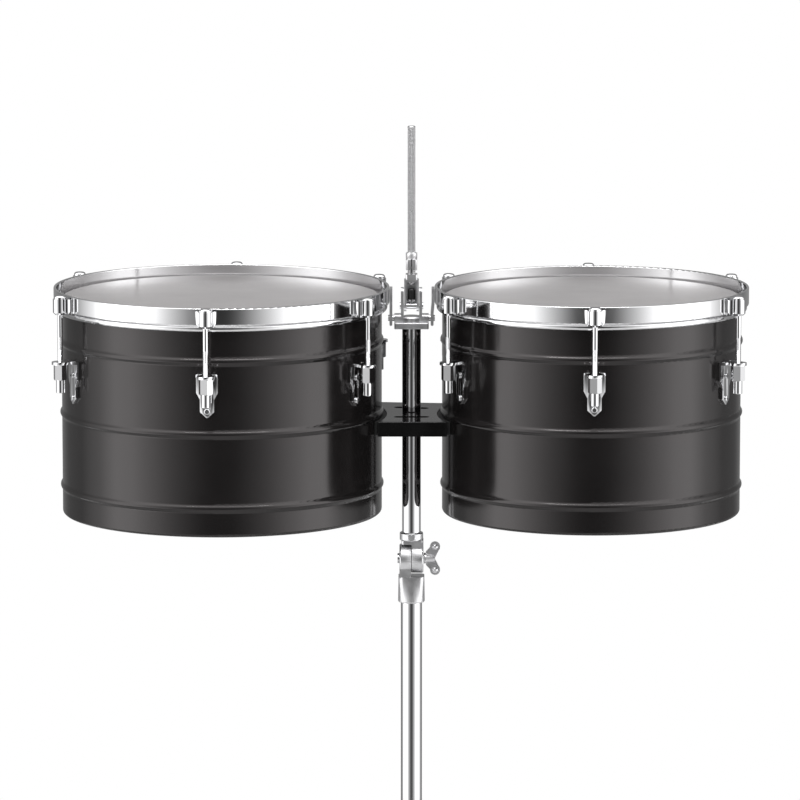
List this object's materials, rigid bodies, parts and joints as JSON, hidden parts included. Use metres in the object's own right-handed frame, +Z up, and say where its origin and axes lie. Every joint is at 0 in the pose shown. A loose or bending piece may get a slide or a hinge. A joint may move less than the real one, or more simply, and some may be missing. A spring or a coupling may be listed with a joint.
{
  "type": "timbales",
  "caption": "Pair of single-headed steel drums hung on one post with a bridge, a tilter and a telescoping folding tripod stand, with a cowbell rod between them.",
  "frame": {"origin": "on the floor, on the stand's upright axis, in the plane of the three feet", "axes": "+Z up along the stand's tubes, +X from the large drum to the small drum, -Y towards the player"},
  "size_m": [0.8267, 0.5722, 1.221],
  "materials": {
    "black_shell": "satin black powder coat on rolled steel",
    "drumhead_film": "smooth white coated film",
    "flesh_hoop_chrome": "bright rolled ring under the film's edge",
    "chrome": "bright chrome plating",
    "cast_chrome": "chrome plating on a die casting, slightly soft",
    "screw_steel": "plated screws and nuts",
    "knurled_steel": "fine knurled steel",
    "black_bridge": "smooth satin black paint",
    "rubber": "matte black rubber",
    "black_plastic": "black nylon"
  },
  "bodies": {
    "base": {"base_tube": "chrome", "height_clamp": "cast_chrome", "height_bushing": "black_plastic", "leg_hub": "cast_chrome"},
    "height_screw": {"height_wing_screw": "cast_chrome"},
    "collar": {"brace_collar": "cast_chrome"},
    "collar_screw": {"collar_wing_screw": "cast_chrome"},
    "leg_1": {"leg_1": "chrome", "foot_1": "rubber"},
    "brace_1": {"brace_1": "chrome"},
    "leg_2": {"leg_2": "chrome", "foot_2": "rubber"},
    "brace_2": {"brace_2": "chrome"},
    "leg_3": {"leg_3": "chrome", "foot_3": "rubber"},
    "brace_3": {"brace_3": "chrome"},
    "mast": {"upper_tube": "chrome", "tilter_lower": "cast_chrome", "tilter_bolt": "screw_steel"},
    "tilter_nut": {"tilter_wing_nut": "cast_chrome"},
    "drums": {"tilter_upper": "cast_chrome", "post": "chrome", "post_cap": "chrome", "hoop_straps": "chrome", "strap_screws": "screw_steel", "bridge": "black_bridge", "bridge_saddles": "rubber", "bridge_bolts": "screw_steel", "large_shell": "black_shell", "large_drumhead": "drumhead_film", "large_flesh_hoop": "flesh_hoop_chrome", "large_counterhoop": "chrome", "large_tension_rods": "chrome", "large_lugs": "chrome", "large_lug_screws": "screw_steel", "small_shell": "black_shell", "small_drumhead": "drumhead_film", "small_flesh_hoop": "flesh_hoop_chrome", "small_counterhoop": "chrome", "small_tension_rods": "chrome", "small_lugs": "chrome", "small_lug_screws": "screw_steel"},
    "bell_clamp": {"bell_clamp": "cast_chrome", "bell_pivot_bolt": "screw_steel", "bell_stop_cap": "black_plastic"},
    "bell_screw": {"bell_clamp_screw": "screw_steel"},
    "bell_lock": {"bell_rod_lock": "cast_chrome"},
    "bell_rod": {"bell_rod": "knurled_steel"},
    "large_tuning_nut_1": {"large_tuning_nut_1": "chrome"},
    "large_tuning_nut_2": {"large_tuning_nut_2": "chrome"},
    "large_tuning_nut_3": {"large_tuning_nut_3": "chrome"},
    "large_tuning_nut_4": {"large_tuning_nut_4": "chrome"},
    "large_tuning_nut_5": {"large_tuning_nut_5": "chrome"},
    "large_tuning_nut_6": {"large_tuning_nut_6": "chrome"},
    "small_tuning_nut_1": {"small_tuning_nut_1": "chrome"},
    "small_tuning_nut_2": {"small_tuning_nut_2": "chrome"},
    "small_tuning_nut_3": {"small_tuning_nut_3": "chrome"},
    "small_tuning_nut_4": {"small_tuning_nut_4": "chrome"},
    "small_tuning_nut_5": {"small_tuning_nut_5": "chrome"},
    "small_tuning_nut_6": {"small_tuning_nut_6": "chrome"}
  },
  "joints": [
    {"name": "leg_fold", "type": "hinge", "parent": "base", "child": "leg_1", "pos_m": [0, 0.0275, 0.31], "axis": [-1, 0, 0], "range_deg": [0, 45]},
    {"name": "brace_1_fold", "type": "hinge", "parent": "collar", "child": "brace_1", "pos_m": [0, 0.0275, 0.13942], "axis": [-1, 0, 0], "range_deg": [-45, 0]},
    {"name": "leg_2_fold", "type": "hinge", "parent": "base", "child": "leg_2", "pos_m": [-0.02382, -0.01375, 0.31], "axis": [0.5, -0.866, 0], "range_deg": [0, 45]},
    {"name": "brace_2_fold", "type": "hinge", "parent": "collar", "child": "brace_2", "pos_m": [-0.02382, -0.01375, 0.13942], "axis": [0.5, -0.866, 0], "range_deg": [-45, 0]},
    {"name": "leg_3_fold", "type": "hinge", "parent": "base", "child": "leg_3", "pos_m": [0.02382, -0.01375, 0.31], "axis": [0.5, 0.866, 0], "range_deg": [0, 45]},
    {"name": "brace_3_fold", "type": "hinge", "parent": "collar", "child": "brace_3", "pos_m": [0.02382, -0.01375, 0.13942], "axis": [0.5, 0.866, 0], "range_deg": [-45, 0]},
    {"name": "collar_slide", "type": "slide", "parent": "base", "child": "collar", "axis": [0, 0, -1], "range_m": [0, 0.0889]},
    {"name": "collar_screw_turn", "type": "hinge", "parent": "collar", "child": "collar_screw", "pos_m": [0, -0.0264, 0.13942], "axis": [0, -1, 0], "continuous": true},
    {"name": "height_screw_turn", "type": "hinge", "parent": "base", "child": "height_screw", "pos_m": [0.0274, 0, 0.381], "axis": [1, 0, 0], "continuous": true},
    {"name": "height_slide", "type": "slide", "parent": "base", "child": "mast", "axis": [0, 0, 1], "range_m": [-0.17, 0.1]},
    {"name": "drum_tilt", "type": "hinge", "parent": "mast", "child": "drums", "pos_m": [0, 0, 0.701], "axis": [1, 0, 0], "range_deg": [-60, 60]},
    {"name": "tilter_nut_turn", "type": "hinge", "parent": "mast", "child": "tilter_nut", "pos_m": [0.01475, 0, 0.701], "axis": [1, 0, 0], "continuous": true},
    {"name": "bell_tilt", "type": "hinge", "parent": "drums", "child": "bell_clamp", "pos_m": [0, 0, 1.006], "axis": [1, 0, 0], "range_deg": [-75, 75]},
    {"name": "bell_screw_turn", "type": "hinge", "parent": "bell_clamp", "child": "bell_screw", "pos_m": [0, 0.0104, 1.0395], "axis": [0, 1, 0], "continuous": true},
    {"name": "bell_turn", "type": "hinge", "parent": "bell_clamp", "child": "bell_lock", "pos_m": [0, 0, 1.0494], "axis": [0, 0, 1], "continuous": true},
    {"name": "bell_rod_slide", "type": "slide", "parent": "bell_lock", "child": "bell_rod", "axis": [0, 0, 1], "range_m": [0, 0.008]},
    {"name": "large_tuning_nut_1_turn", "type": "hinge", "parent": "drums", "child": "large_tuning_nut_1", "pos_m": [-0.23867, -0.20881, 0.95], "axis": [0, 0, 1], "continuous": true},
    {"name": "large_tuning_nut_2_turn", "type": "hinge", "parent": "drums", "child": "large_tuning_nut_2", "pos_m": [-0.05145, -0.11546, 0.95], "axis": [0, 0, 1], "continuous": true},
    {"name": "large_tuning_nut_3_turn", "type": "hinge", "parent": "drums", "child": "large_tuning_nut_3", "pos_m": [-0.03868, 0.09334, 0.95], "axis": [0, 0, 1], "continuous": true},
    {"name": "large_tuning_nut_4_turn", "type": "hinge", "parent": "drums", "child": "large_tuning_nut_4", "pos_m": [-0.21313, 0.20881, 0.95], "axis": [0, 0, 1], "continuous": true},
    {"name": "large_tuning_nut_5_turn", "type": "hinge", "parent": "drums", "child": "large_tuning_nut_5", "pos_m": [-0.40035, 0.11546, 0.95], "axis": [0, 0, 1], "continuous": true},
    {"name": "large_tuning_nut_6_turn", "type": "hinge", "parent": "drums", "child": "large_tuning_nut_6", "pos_m": [-0.41312, -0.09334, 0.95], "axis": [0, 0, 1], "continuous": true},
    {"name": "small_tuning_nut_1_turn", "type": "hinge", "parent": "drums", "child": "small_tuning_nut_1", "pos_m": [0.21224, -0.19649, 0.95], "axis": [0, 0, 1], "continuous": true},
    {"name": "small_tuning_nut_2_turn", "type": "hinge", "parent": "drums", "child": "small_tuning_nut_2", "pos_m": [0.38344, -0.10003, 0.95], "axis": [0, 0, 1], "continuous": true},
    {"name": "small_tuning_nut_3_turn", "type": "hinge", "parent": "drums", "child": "small_tuning_nut_3", "pos_m": [0.38549, 0.09646, 0.95], "axis": [0, 0, 1], "continuous": true},
    {"name": "small_tuning_nut_4_turn", "type": "hinge", "parent": "drums", "child": "small_tuning_nut_4", "pos_m": [0.21636, 0.19649, 0.95], "axis": [0, 0, 1], "continuous": true},
    {"name": "small_tuning_nut_5_turn", "type": "hinge", "parent": "drums", "child": "small_tuning_nut_5", "pos_m": [0.04516, 0.10003, 0.95], "axis": [0, 0, 1], "continuous": true},
    {"name": "small_tuning_nut_6_turn", "type": "hinge", "parent": "drums", "child": "small_tuning_nut_6", "pos_m": [0.04311, -0.09646, 0.95], "axis": [0, 0, 1], "continuous": true}
  ],
  "couplings": [
    {"joint": "leg_2_fold", "follows": "leg_fold", "ratio": 1},
    {"joint": "leg_3_fold", "follows": "leg_fold", "ratio": 1},
    {"joint": "brace_1_fold", "follows": "leg_fold", "ratio": -1},
    {"joint": "brace_2_fold", "follows": "leg_fold", "ratio": -1},
    {"joint": "brace_3_fold", "follows": "leg_fold", "ratio": -1},
    {"joint": "collar_slide", "follows": "leg_fold", "m_per_rad": 0.11305}
  ]
}
